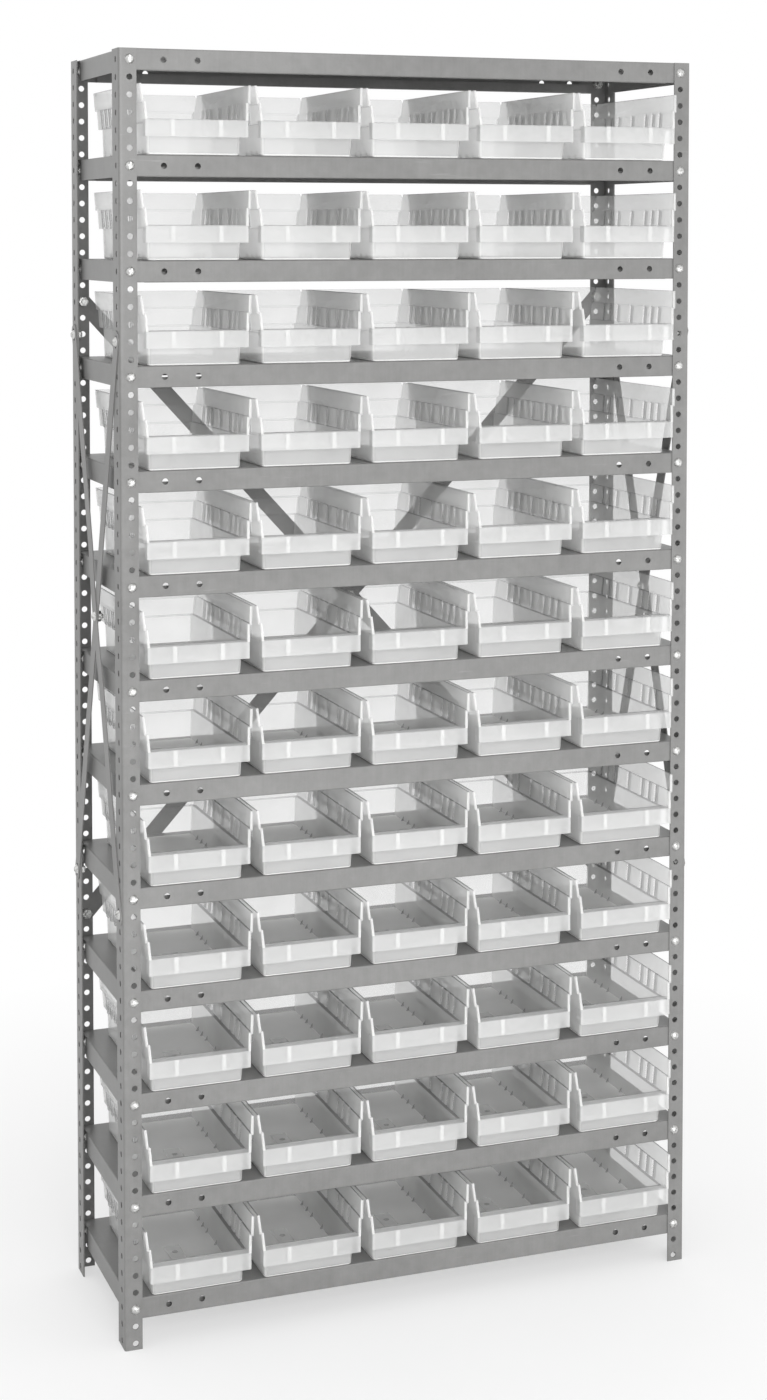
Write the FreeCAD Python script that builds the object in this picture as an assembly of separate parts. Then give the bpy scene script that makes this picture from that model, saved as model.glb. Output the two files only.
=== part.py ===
import FreeCAD, Part
import math
import os

Vector = FreeCAD.Vector

# Bin shelving unit, in millimetres. X runs across the front, Y from front to rear and Z up.
# The pieces are drawn with Y = 0 at the posts' front faces and moved to the origin at export.

# Overall size
unit_width = 914.4
unit_depth = 304.8
post_height = 1905.0

# Angle posts, with the same row of holes in both flanges
post_front_flange = 26.7
post_side_flange = 38.1
post_sheet = 1.9
post_bend_radius = 3.0
hole_diameter = 9.0
hole_pitch = 25.4
top_hole_drop = 15.875
bottom_hole_margin = 8.0
front_hole_inset = 16.5
side_hole_inset = 17.2

# Shelves, bolted between the front and rear flanges
shelf_side_gap = 7.2
shelf_sheet = 0.9
shelf_lip_height = 31.75
shelf_bend_radius = 2.0
shelf_hem_width = 9.5
shelf_return_height = 15.0
shelf_hem_end_gap = 32.0
shelf_side_lip_end_gap = 28.5
shelf_side_lip_clip = 5.0
shelf_holes_apart = 6
lowest_shelf_margin = 45.0
lip_hole_spacing = 50.8
lip_holes_each_end = 2

# Round-head slotted bolts and hex nuts
bolt_diameter = 7.9
bolt_length = 12.7
bolt_head_diameter = 14.3
bolt_head_height = 5.0
bolt_slot_width = 1.6
bolt_slot_depth = 2.2
bolt_turn_step = 137.5
nut_across_flats = 14.3
nut_thickness = 6.8
nut_chamfer = 0.9
nut_bore_clearance = 0.1

# Crossed flat braces, bolted outside the flanges at these holes, counted from the top one
strap_width = 25.4
strap_sheet = 1.5
strap_end = 15.0
strap_corner_clip = 6.0
strap_slot_length = 20.0
side_brace_top_hole = 16
side_brace_bottom_hole = 49
back_brace_top_hole = 14
back_brace_bottom_hole = 52
crossing_margin = 4.0
crossing_ramp = 60.0

# Hopper-front bins: three drafted steps in the sides, each with its width at the foot and at the
# top, and a hooked lip with a hanging band in front
bin_upper_width = 168.3
bin_upper_foot_width = 163.6
bin_middle_width = 158.4
bin_middle_foot_width = 153.8
bin_lower_width = 142.4
bin_floor_width = 139.0
bin_band_width = 154.6
bin_height = 101.6
bin_lower_height = 46.0
bin_middle_height = 28.0
bin_front_height = 50.8
bin_front_lean = 4.9
bin_hook_depth = 14.7
bin_band_height = 25.4
bin_edge_rake = 8.3
bin_rear_step = 2.0
bin_rear_gap = 25.3
bin_wall = 2.2
bin_floor = 2.4
bin_gap = 4.4
bin_seat_gap = 0.3
bin_bead_width = 4.0
bin_bead_depth = 3.2
band_rib_width = 6.5
band_rib_from_centre = 36.0
divider_slot_width = 10.0
divider_slot_depth = 2.5
divider_slot_wall = 2.0
divider_slot_pitch = 24.4
divider_slot_centre = 132.6
divider_slot_steps = (-4, -3, -2, 0, 2, 3, 4)
corner_notch_width = 6.0
corner_notch_depth = 6.0
rows_in_one_node = 6

# Places that several pieces share
shelf_length = unit_width - 2 * shelf_side_gap
shelf_front = post_sheet
shelf_rear = unit_depth - post_sheet
shelf_spacing = shelf_holes_apart * hole_pitch
shelf_room = post_height - top_hole_drop - lowest_shelf_margin
shelf_count = int(shelf_room // shelf_spacing) + 1
hole_room = post_height - top_hole_drop - bottom_hole_margin
hole_count = int(hole_room // hole_pitch) + 1
bolt_x = unit_width / 2 - front_hole_inset
bin_pitch = bin_upper_width + bin_gap
bin_room = unit_width - 2 * post_front_flange + bin_gap
bins_per_shelf = int(bin_room // bin_pitch)
bin_middle_top = bin_lower_height + bin_middle_height
bin_rear = shelf_rear - shelf_front - bin_rear_gap
band_front = -(bin_front_lean + bin_hook_depth)

# The origin stands on the floor, under the middle of the whole unit's reach
front_reach = -(shelf_front + band_front)
rear_reach = unit_depth + 2 * strap_sheet + bolt_head_height
origin_y = (rear_reach - front_reach) / 2

# How far a cutting solid runs past the face that it opens
overrun = 1.0


# Basic shapes

def box(x_low, x_high, y_low, y_high, z_low, z_high):
    corner = Vector(x_low, y_low, z_low)
    return Part.makeBox(x_high - x_low, y_high - y_low, z_high - z_low, corner)


def side_prism(outline, x_low, x_high):
    # The outline lists (y, z) corners, and the solid runs along X
    corners = [Vector(x_low, y, z) for y, z in outline]
    face = Part.Face(Part.makePolygon(corners + corners[:1]))
    return face.extrude(Vector(x_high - x_low, 0, 0))


def end_prism(outline, y_low, y_high):
    # The outline lists (x, z) corners, and the solid runs along Y
    corners = [Vector(x, y_low, z) for x, z in outline]
    face = Part.Face(Part.makePolygon(corners + corners[:1]))
    return face.extrude(Vector(0, y_high - y_low, 0))


def bent_section(outline, sheet, bend, place):
    # Section of a strip with square bends that all turn the same way. The outline lists the
    # sharp corners of its outer face, and place turns each (a, b) point into a point in space.
    corners = [Vector(a, b, 0) for a, b in outline]
    ways = [(end - start).normalize() for start, end in zip(corners, corners[1:])]
    edges = []
    first_points = []
    last_points = []

    def line(start, end):
        edges.append(Part.LineSegment(place(start), place(end)).toShape())

    for offset in (0, sheet):
        radius = bend - offset
        start = corners[0] + ways[1] * offset
        first_points.append(start)
        for corner, before, after in zip(corners[1:-1], ways, ways[1:]):
            centre = corner + (after - before) * bend
            arc_start = centre - after * radius
            arc_middle = centre + (before - after) * (radius * math.sqrt(0.5))
            arc_end = centre + before * radius
            line(start, arc_start)
            edges.append(Part.Arc(place(arc_start), place(arc_middle), place(arc_end)).toShape())
            start = arc_end
        last_points.append(corners[-1] - ways[-2] * offset)
        line(start, last_points[-1])
    line(*first_points)
    line(*last_points)
    return Part.Face(Part.Wire(Part.sortEdges(edges)[0]))


def hole(centre, direction, reach):
    # A round cutter of the post and lip hole size, reaching both ways from its centre
    return Part.makeCylinder(hole_diameter / 2, 2 * reach, centre - direction * reach, direction)


def across(shape):
    # The same shape on the other side of the unit's middle plane
    return shape.mirror(Vector(0, 0, 0), Vector(1, 0, 0))


def front_to_rear(shape):
    # The same shape at the other end of the unit's depth
    return shape.mirror(Vector(0, unit_depth / 2, 0), Vector(0, 1, 0))


def hole_height(index):
    return post_height - top_hole_drop - index * hole_pitch


def shelf_top(index):
    # The top shelf, index 0, is flush with the ends of the posts
    return hole_height(index * shelf_holes_apart) + top_hole_drop


# Posts

def front_left_post():
    edge = -unit_width / 2
    outline = [(edge + post_front_flange, 0), (edge, 0), (edge, post_side_flange)]
    section = bent_section(outline, post_sheet, post_bend_radius, lambda point: point)
    cutters = []
    for index in range(hole_count):
        height = hole_height(index)
        front_centre = Vector(-bolt_x, post_sheet / 2, height)
        side_centre = Vector(edge + post_sheet / 2, side_hole_inset, height)
        cutters.append(hole(front_centre, Vector(0, 1, 0), post_sheet))
        cutters.append(hole(side_centre, Vector(1, 0, 0), post_sheet))
    return section.extrude(Vector(0, 0, post_height)).cut(cutters)


# Shelves, drawn with the top face at Z = 0

def shelf_channel():
    # The deck with its front and rear lips, boxed in by hems and returns that are cut short at the ends
    hem_inner = shelf_front + shelf_hem_width
    return_top = shelf_return_height - shelf_lip_height
    front_half = [
        (hem_inner, return_top), (hem_inner, -shelf_lip_height),
        (shelf_front, -shelf_lip_height), (shelf_front, 0),
    ]
    rear_half = [(unit_depth - y, z) for y, z in reversed(front_half)]
    section = bent_section(
        front_half + rear_half, shelf_sheet, shelf_bend_radius,
        lambda point: Vector(-shelf_length / 2, point.x, point.y))
    channel = section.extrude(Vector(shelf_length, 0, 0))
    end = shelf_length / 2
    hem_cut = box(
        end - shelf_hem_end_gap, end + overrun,
        shelf_front + shelf_sheet, hem_inner + overrun,
        -shelf_lip_height - overrun, -shelf_lip_height + shelf_bend_radius)
    return_cut = box(
        end - shelf_hem_end_gap, end + overrun,
        hem_inner - shelf_bend_radius, hem_inner + overrun,
        -shelf_lip_height - overrun, return_top + overrun)
    hem_cut = hem_cut.fuse(return_cut)
    side_cut = box(
        end - shelf_bend_radius, end + overrun,
        shelf_front + shelf_side_lip_end_gap, shelf_rear - shelf_side_lip_end_gap,
        -shelf_sheet - overrun, overrun)
    left_hem_cuts = [across(hem_cut), across(front_to_rear(hem_cut))]
    return channel.cut([hem_cut, front_to_rear(hem_cut), side_cut, across(side_cut)] + left_hem_cuts)


def shelf_side_lip():
    # The right-hand lip, with its lower corners clipped
    start = shelf_front + shelf_side_lip_end_gap
    end = shelf_rear - shelf_side_lip_end_gap
    edge = shelf_length / 2
    outline = [(edge - 2 * shelf_bend_radius, 0), (edge, 0), (edge, -shelf_lip_height)]
    section = bent_section(
        outline, shelf_sheet, shelf_bend_radius,
        lambda point: Vector(point.x, start, point.y))
    lip = section.extrude(Vector(0, end - start, 0))
    clipped = side_prism(
        [
            (start, overrun), (end, overrun), (end, shelf_side_lip_clip - shelf_lip_height),
            (end - shelf_side_lip_clip, -shelf_lip_height),
            (start + shelf_side_lip_clip, -shelf_lip_height),
            (start, shelf_side_lip_clip - shelf_lip_height),
        ],
        edge - shelf_lip_height, edge + overrun)
    return lip.common(clipped)


def shelf_solid():
    side_lip = shelf_side_lip()
    sheet = shelf_channel().fuse([side_lip, across(side_lip)])
    cutters = []
    for step in range(lip_holes_each_end + 1):
        for side in (-1, 1):
            x = side * (bolt_x - step * lip_hole_spacing)
            for y in (shelf_front, shelf_rear):
                cutters.append(hole(Vector(x, y, -top_hole_drop), Vector(0, 1, 0), 2 * shelf_sheet))
    return sheet.cut(cutters).removeSplitter()


# Fasteners, drawn along Z from the face that they bear on

def slotted_bolt():
    head_radius = bolt_head_diameter / 2
    dome_radius = (head_radius ** 2 + bolt_head_height ** 2) / (2 * bolt_head_height)
    ball = Part.makeSphere(dome_radius, Vector(0, 0, dome_radius - bolt_head_height))
    reach = bolt_head_diameter
    head = ball.common(box(-reach, reach, -reach, reach, -reach, 0))
    shank = Part.makeCylinder(bolt_diameter / 2, bolt_length)
    slot_floor = bolt_slot_depth - bolt_head_height
    slot = box(-bolt_slot_width / 2, bolt_slot_width / 2, -reach, reach, -reach, slot_floor)
    return head.fuse(shank).cut(slot)


def hex_nut():
    corner_radius = nut_across_flats / 2 / math.cos(math.radians(30))
    corners = []
    for index in range(7):
        angle = math.radians(60 * index)
        corners.append(Vector(corner_radius * math.cos(angle), corner_radius * math.sin(angle), 0))
    block = Part.Face(Part.makePolygon(corners)).extrude(Vector(0, 0, nut_thickness))
    round_block = Part.makeCylinder(corner_radius, nut_thickness)
    rims = [edge for edge in round_block.Edges if isinstance(edge.Curve, Part.Circle)]
    bore = Part.makeCylinder(bolt_diameter / 2 + nut_bore_clearance, nut_thickness)
    return block.common(round_block.makeChamfer(nut_chamfer, rims)).cut(bore)


def seated(shape, point, inward, turn=0):
    # Turns a fastener about its own axis, points its Z axis inwards and moves it to the point
    spun = FreeCAD.Rotation(Vector(0, 0, 1), turn)
    moved = shape.copy()
    moved.Placement = FreeCAD.Placement(point, FreeCAD.Rotation(Vector(0, 0, 1), inward) * spun)
    return moved


def shelf_fasteners(bolt, nut):
    bolts = []
    nuts = []
    gripped = post_sheet + shelf_sheet
    for index in range(shelf_count):
        height = hole_height(index * shelf_holes_apart)
        for x in (-bolt_x, bolt_x):
            for face, inward in ((0, Vector(0, 1, 0)), (unit_depth, Vector(0, -1, 0))):
                point = Vector(x, face, height)
                bolts.append(seated(bolt, point, inward, len(bolts) * bolt_turn_step))
                nuts.append(seated(nut, point + inward * gripped, inward))
    return bolts, nuts


# Braces

def strap_solid(bolt_distance, crossing_half, bowed):
    # One strap from bolt to bolt along X, its inner face at Z = 0. A bowed one steps out by
    # its own thickness where it crosses the other.
    middle = bolt_distance / 2
    flat = crossing_half + crossing_margin
    lift = strap_sheet if bowed else 0
    inner_line = [
        (-strap_end, 0), (middle - flat - crossing_ramp, 0), (middle - flat, lift),
        (middle + flat, lift), (middle + flat + crossing_ramp, 0), (bolt_distance + strap_end, 0),
    ]
    if not bowed:
        inner_line = [inner_line[0], inner_line[-1]]
    outer_line = [(x, z + strap_sheet) for x, z in reversed(inner_line)]
    half = strap_width / 2
    corners = [Vector(x, -half, z) for x, z in inner_line + outer_line]
    strap = Part.Face(Part.makePolygon(corners + corners[:1])).extrude(Vector(0, strap_width, 0))
    low = -strap_end
    high = bolt_distance + strap_end
    clip = strap_corner_clip
    plan = [
        (low + clip, -half), (high - clip, -half), (high, clip - half), (high, half - clip),
        (high - clip, half), (low + clip, half), (low, half - clip), (low, clip - half),
    ]
    plan_corners = [Vector(x, y, -overrun) for x, y in plan]
    plan_face = Part.Face(Part.makePolygon(plan_corners + plan_corners[:1]))
    strap = strap.common(plan_face.extrude(Vector(0, 0, 2 * strap_sheet + 2 * overrun)))
    cutters = [hole(Vector(middle, 0, strap_sheet), Vector(0, 0, 1), 2 * strap_sheet)]
    slot_half = (strap_slot_length - hole_diameter) / 2
    radius = hole_diameter / 2
    for end in (0, bolt_distance):
        for side in (-1, 1):
            centre = Vector(end + side * slot_half, 0, 0)
            cutters.append(hole(centre, Vector(0, 0, 1), 2 * strap_sheet))
        slot_low = end - slot_half
        cutters.append(box(
            slot_low, end + slot_half, -radius, radius, -2 * strap_sheet, 2 * strap_sheet))
    return strap.cut(cutters)


def laid_strap(start, end, outward, crossing_half, bowed):
    along = end - start
    distance = along.Length
    along.normalize()
    turned = FreeCAD.Rotation(along, outward.cross(along), outward, "ZXY")
    strap = strap_solid(distance, crossing_half, bowed)
    strap.Placement = FreeCAD.Placement(start, turned)
    return strap


def crossed_straps(near, far, top, bottom, outward):
    # near and far are the lines of post holes on the outer face, and top and bottom the heights
    spread = (far - near).Length
    crossing_angle = 2 * math.atan(spread / (top - bottom).Length)
    crossing_angle = min(crossing_angle, math.pi - crossing_angle)
    crossing_half = strap_width / 2 / math.tan(crossing_angle / 2)
    return [
        laid_strap(near + top, far + bottom, outward, crossing_half, False),
        laid_strap(near + bottom, far + top, outward, crossing_half, True),
    ]


def brace_fasteners(near, far, top, bottom, outward, bolt, nut):
    # One at each end of both straps, and one through the crossing
    bolts = []
    nuts = []
    inward = outward * -1
    for point in (near + top, near + bottom, far + top, far + bottom):
        turn = len(bolts) * bolt_turn_step
        bolts.append(seated(bolt, point + outward * strap_sheet, inward, turn))
        nuts.append(seated(nut, point + inward * post_sheet, inward))
    middle = (near + far + top + bottom) * 0.5
    bolts.append(seated(bolt, middle + outward * 2 * strap_sheet, inward, bolt_turn_step))
    nuts.append(seated(nut, middle, inward))
    return bolts, nuts


# Bins, drawn with the floor's front edge at the origin

def front_wall(height):
    # Outer face of the front wall, which leans forward as it rises
    return -bin_front_lean * height / bin_front_height


def side_edge(height):
    # Front edge of the side walls, which rakes back from the band's top
    return band_front + bin_edge_rake * (height - bin_front_height) / (bin_height - bin_front_height)


def side_line(inset, foot, top):
    # The right-hand side from foot to top as (x, z) points, moved in from the outer face by inset
    lower_top = bin_lower_height + inset
    middle_top = bin_middle_top + inset
    widths = (
        (bin_floor_width, foot), (bin_lower_width, lower_top),
        (bin_middle_foot_width, lower_top), (bin_middle_width, middle_top),
        (bin_upper_foot_width, middle_top), (bin_upper_width, top),
    )
    return [(width / 2 - inset, z) for width, z in widths]


def between_sides(right_line):
    # A solid between a side line and its mirror image, longer than the bin
    left_line = [(-x, z) for x, z in reversed(right_line)]
    return end_prism(right_line + left_line, band_front - 2 * overrun, bin_rear + overrun)


def bin_outer():
    lower_rear = bin_rear - 2 * bin_rear_step
    middle_rear = bin_rear - bin_rear_step
    long_outline = [
        (0, 0), (lower_rear, 0), (lower_rear, bin_lower_height),
        (middle_rear, bin_lower_height), (middle_rear, bin_middle_top),
        (bin_rear, bin_middle_top), (bin_rear, bin_height),
        (side_edge(bin_height), bin_height), (band_front, bin_front_height),
        (band_front, bin_lower_height), (front_wall(bin_lower_height), bin_lower_height),
    ]
    tub = between_sides(side_line(0, 0, bin_height)).common(
        side_prism(long_outline, -bin_upper_width, bin_upper_width))
    band_foot = bin_front_height - bin_band_height
    hook = [
        (band_front, band_foot), (front_wall(band_foot), band_foot),
        (front_wall(bin_lower_height), bin_lower_height), (band_front, bin_lower_height),
    ]
    steps = [side_prism(hook, -bin_band_width / 2, bin_band_width / 2)]
    foot_x = bin_middle_foot_width / 2
    top_x = bin_middle_width / 2
    pocket = [
        (0, bin_lower_height), (foot_x + divider_slot_depth, bin_lower_height),
        (top_x + divider_slot_depth, bin_middle_top), (0, bin_middle_top),
    ]
    for y in divider_slots():
        half = divider_slot_width / 2
        step = end_prism(pocket, y - half, y + half)
        steps += [step, across(step)]
    return tub.fuse(steps)


def divider_slots():
    return [divider_slot_centre + step * divider_slot_pitch for step in divider_slot_steps]


def bin_hollow():
    # The inside, open at the top and over the front wall, with the insides of the divider slots
    lower_step = bin_lower_height + bin_wall
    middle_step = bin_middle_top + bin_wall
    lower_rear = bin_rear - 2 * bin_rear_step - bin_wall
    middle_rear = bin_rear - bin_rear_step - bin_wall
    open_front = band_front - overrun
    rim = bin_height + overrun
    long_outline = [
        (front_wall(bin_floor) + bin_wall, bin_floor), (lower_rear, bin_floor),
        (lower_rear, lower_step), (middle_rear, lower_step), (middle_rear, middle_step),
        (bin_rear - bin_wall, middle_step), (bin_rear - bin_wall, rim), (open_front, rim),
        (open_front, bin_front_height), (front_wall(bin_front_height) + bin_wall, bin_front_height),
    ]
    inside = between_sides(side_line(bin_wall, bin_floor, rim)).common(
        side_prism(long_outline, -bin_upper_width, bin_upper_width))
    reach = divider_slot_depth - bin_wall
    foot_x = bin_middle_foot_width / 2 + reach
    top_x = bin_middle_width / 2 + reach
    pocket = [(-foot_x, lower_step), (foot_x, lower_step), (top_x, middle_step), (-top_x, middle_step)]
    slots = []
    for y in divider_slots():
        half = divider_slot_width / 2 - divider_slot_wall
        slots.append(end_prism(pocket, y - half, y + half))
    return inside.fuse(slots)


def hook_hollow():
    # The space between the band and the front wall, open below, with ribs left on the band
    half = bin_band_width / 2 - bin_wall
    foot = bin_front_height - bin_band_height - overrun
    roof = bin_front_height - bin_wall
    space = side_prism(
        [
            (band_front + bin_wall, foot), (front_wall(foot), foot),
            (front_wall(roof), roof), (band_front + bin_wall, roof),
        ],
        -half, half)
    ribs = []
    for centre in (-band_rib_from_centre, band_rib_from_centre):
        ribs.append(box(
            centre - band_rib_width / 2, centre + band_rib_width / 2,
            band_front, band_front + bin_bead_depth, foot - overrun, roof + overrun))
    end_start = bin_band_width / 2 - bin_bead_width
    for low, high in ((-half - overrun, -end_start), (end_start, half + overrun)):
        ribs.append(box(
            low, high, band_front, band_front + bin_bead_depth, foot - overrun, roof + overrun))
    return space.cut(ribs)


def front_beads():
    # Thickened front edges of the side walls, along the middle and upper steps
    foot = bin_front_height
    outer_line = [point for point in side_line(0, 0, bin_height) if point[1] > foot]
    inner_line = [
        (x - bin_bead_width, z + bin_wall if z < bin_height else z) for x, z in reversed(outer_line)]
    band_end = bin_band_width / 2
    strip = end_prism(
        outer_line + inner_line + [(band_end - bin_bead_width, foot), (band_end, foot)],
        band_front - overrun, bin_rear)
    edge = side_prism(
        [
            (side_edge(foot), foot), (side_edge(bin_height), bin_height),
            (side_edge(bin_height) + bin_bead_depth, bin_height),
            (side_edge(foot) + bin_bead_depth, foot),
        ],
        -bin_upper_width, bin_upper_width)
    bead = strip.common(edge)
    return [bead, across(bead)]


def corner_notches():
    # V cuts through the two rear corners of the rim, on the corners' diagonals
    notches = []
    for side in (-1, 1):
        corner = Vector(side * bin_upper_width / 2, bin_rear, bin_height)
        inward = Vector(-side, -1, 0).normalize()
        sideways = Vector(-inward.y, inward.x, 0)
        start = corner - inward * corner_notch_width
        slope = corner_notch_width / 2 * (1 + overrun / corner_notch_depth)
        points = [
            start + sideways * slope + Vector(0, 0, overrun),
            start - sideways * slope + Vector(0, 0, overrun),
            start - Vector(0, 0, corner_notch_depth),
        ]
        face = Part.Face(Part.makePolygon(points + points[:1]))
        notches.append(face.extrude(inward * (2 * corner_notch_width + 2 * bin_wall)))
    return notches


def bin_solid():
    shell = bin_outer().cut([bin_hollow(), hook_hollow()])
    shell = shell.fuse(front_beads())
    return shell.cut(corner_notches()).removeSplitter()


def placed_bin(solid, row, column):
    middle = (bins_per_shelf - 1) / 2
    bin_copy = solid.copy()
    bin_copy.translate(Vector(
        (column - middle) * bin_pitch, shelf_front, shelf_top(row) + bin_seat_gap))
    return bin_copy


# Output

def save(node, solids):
    moved = []
    for solid in solids:
        solid_copy = solid.copy()
        solid_copy.translate(Vector(0, -origin_y, 0))
        moved.append(solid_copy)
    shape = moved[0] if len(moved) == 1 else Part.makeCompound(moved)
    shape.exportStep(os.path.join("parts", node + ".step"))
    print(node, len(moved))


def save_posts():
    post = front_left_post()
    save("post_front_left", [post])
    save("post_front_right", [across(post)])
    save("post_rear_left", [front_to_rear(post)])
    save("post_rear_right", [across(front_to_rear(post))])


def save_shelves(bolt, nut):
    shelf = shelf_solid()
    for index in range(shelf_count):
        shelf_copy = shelf.copy()
        shelf_copy.translate(Vector(0, 0, shelf_top(index)))
        save("shelf_%02d" % (index + 1), [shelf_copy])
    bolts, nuts = shelf_fasteners(bolt, nut)
    save("shelf_bolts", bolts)
    save("shelf_nuts", nuts)


def save_braces(bolt, nut):
    side = unit_width / 2
    side_front = side_hole_inset
    side_rear = unit_depth - side_hole_inset
    side_top = Vector(0, 0, hole_height(side_brace_top_hole))
    side_bottom = Vector(0, 0, hole_height(side_brace_bottom_hole))
    back_top = Vector(0, 0, hole_height(back_brace_top_hole))
    back_bottom = Vector(0, 0, hole_height(back_brace_bottom_hole))
    places = {
        "brace_left": (
            Vector(-side, side_front, 0), Vector(-side, side_rear, 0),
            side_top, side_bottom, Vector(-1, 0, 0)),
        "brace_right": (
            Vector(side, side_front, 0), Vector(side, side_rear, 0),
            side_top, side_bottom, Vector(1, 0, 0)),
        "brace_back": (
            Vector(-bolt_x, unit_depth, 0), Vector(bolt_x, unit_depth, 0),
            back_top, back_bottom, Vector(0, 1, 0)),
    }
    all_bolts = []
    all_nuts = []
    for node, place in places.items():
        save(node, crossed_straps(*place))
        bolts, nuts = brace_fasteners(*place, bolt, nut)
        all_bolts += bolts
        all_nuts += nuts
    save("brace_bolts", all_bolts)
    save("brace_nuts", all_nuts)


def save_bins():
    # The upper rows are one node each, and in the lower rows each bin is its own node
    one_bin = bin_solid()
    for row in range(1, shelf_count):
        row_bins = [placed_bin(one_bin, row, column) for column in range(bins_per_shelf)]
        if row <= rows_in_one_node:
            save("bin_row_%02d" % row, row_bins)
            continue
        for column, single in enumerate(row_bins):
            save("bin_%02d_%d" % (row, column + 1), [single])


def main():
    os.makedirs("parts", exist_ok=True)
    bolt = slotted_bolt()
    nut = hex_nut()
    save_posts()
    save_shelves(bolt, nut)
    save_braces(bolt, nut)
    save_bins()


main()
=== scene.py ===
import math

import bmesh
import bpy
from mathutils import Matrix, Vector


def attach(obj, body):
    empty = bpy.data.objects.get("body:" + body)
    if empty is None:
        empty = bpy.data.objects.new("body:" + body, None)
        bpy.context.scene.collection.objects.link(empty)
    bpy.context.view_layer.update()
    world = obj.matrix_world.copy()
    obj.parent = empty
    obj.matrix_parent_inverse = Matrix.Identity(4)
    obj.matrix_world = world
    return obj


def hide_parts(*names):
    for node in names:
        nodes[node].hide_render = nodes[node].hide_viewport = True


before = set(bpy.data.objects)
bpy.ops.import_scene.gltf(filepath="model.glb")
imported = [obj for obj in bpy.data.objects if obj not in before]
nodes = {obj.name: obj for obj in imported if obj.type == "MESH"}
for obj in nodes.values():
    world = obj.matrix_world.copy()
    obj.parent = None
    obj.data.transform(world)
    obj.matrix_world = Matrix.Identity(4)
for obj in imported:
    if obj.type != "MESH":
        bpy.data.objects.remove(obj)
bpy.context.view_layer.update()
print("stage: frame loaded,", len(nodes), "nodes")

# Pieces are drawn in millimetres and brought to metres when they are finished
mm = 0.001
frontY = min(v.co.y for v in nodes["post_front_left"].data.vertices)
originY = round(-frontY / mm, 3)  # the posts' front faces lie this far in front of the origin


# Small helpers for meshes

def near(value, target, slack=0.05):
    return abs(value - target) < slack


def edgesWhere(bm, test):
    return [e for e in bm.edges if all(test(v.co) for v in e.verts)]


def facesWhere(bm, test):
    return [f for f in bm.faces if all(test(v.co) for v in f.verts)]


def extrudeEdges(bm, edges, move=None):
    made = bmesh.ops.extrude_edge_only(bm, edges=edges)["geom"]
    verts = [g for g in made if isinstance(g, bmesh.types.BMVert)]
    for v in verts:
        if move:
            v.co = move(v.co)
    return verts, [g for g in made if isinstance(g, bmesh.types.BMEdge)]


def roundEdges(bm, edges, radius, segments):
    bmesh.ops.bevel(bm, geom=edges, offset=radius, offset_type="OFFSET", segments=segments, profile=0.5,
                    affect="EDGES", clamp_overlap=True, material=-1)


def geometryOf(verts):
    # These vertices with every edge and face that they touch
    edges = dict.fromkeys(e for v in verts for e in v.link_edges)
    faces = dict.fromkeys(f for v in verts for f in v.link_faces)
    return verts + list(edges) + list(faces)


def block(bm, x, y, z, topY=None):
    # A cube brought to these ranges; topY gives other y values for the upper end of a leaning bar
    verts = bmesh.ops.create_cube(bm, size=1)["verts"]
    for v in verts:
        high = v.co.z > 0
        ys = topY if topY and high else y
        v.co = Vector((x[v.co.x > 0], ys[v.co.y > 0], z[high]))
    return verts


def meshFrom(bm, name):
    mesh = bpy.data.meshes.new(name)
    bm.to_mesh(mesh)
    bm.free()
    return mesh


def withModifiers(mesh, modifiers):
    # The mesh as its modifiers leave it
    helper = bpy.data.objects.new("helper", mesh)
    bpy.context.scene.collection.objects.link(helper)
    for kind, settings in modifiers:
        modifier = helper.modifiers.new(kind.lower(), kind)
        for key, value in settings.items():
            setattr(modifier, key, value)
    graph = bpy.context.evaluated_depsgraph_get()
    done = bpy.data.meshes.new_from_object(helper.evaluated_get(graph))
    bpy.data.objects.remove(helper)
    return done


def wallOf(thickness):
    # A wall grown inwards from the outside sheet
    return ("SOLIDIFY", {"thickness": thickness, "offset": -1, "use_even_offset": True,
                         "use_quality_normals": True})


def softEdges(width, segments=2, angle=38):
    return ("BEVEL", {"width": width, "segments": segments, "limit_method": "ANGLE",
                      "angle_limit": math.radians(angle), "use_clamp_overlap": False})


def addPiece(name, meshes, material, body, stoodFor, smoothAngle=32):
    # meshes holds (mesh, matrix) pairs in millimetres, with the posts' front faces at y = 0
    bm = bmesh.new()
    for mesh, matrix in meshes:
        part = bmesh.new()
        part.from_mesh(mesh)
        part.transform(matrix)
        if matrix.determinant() < 0:
            bmesh.ops.reverse_faces(part, faces=part.faces)
        placed = bpy.data.meshes.new("placed")
        part.to_mesh(placed)
        part.free()
        bm.from_mesh(placed)
        bpy.data.meshes.remove(placed)
    bm.transform(Matrix.Scale(mm, 4) @ Matrix.Translation((0, -originY, 0)))
    for f in bm.faces:
        f.smooth = True
    for e in bm.edges:
        e.smooth = len(e.link_faces) == 2 and e.calc_face_angle(0) < math.radians(smoothAngle)
    mesh = meshFrom(bm, name)
    mesh.materials.append(material)
    piece = bpy.data.objects.new(name, mesh)
    bpy.context.scene.collection.objects.link(piece)
    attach(piece, body)
    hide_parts(*stoodFor)
    return piece


# Shader writing

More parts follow.
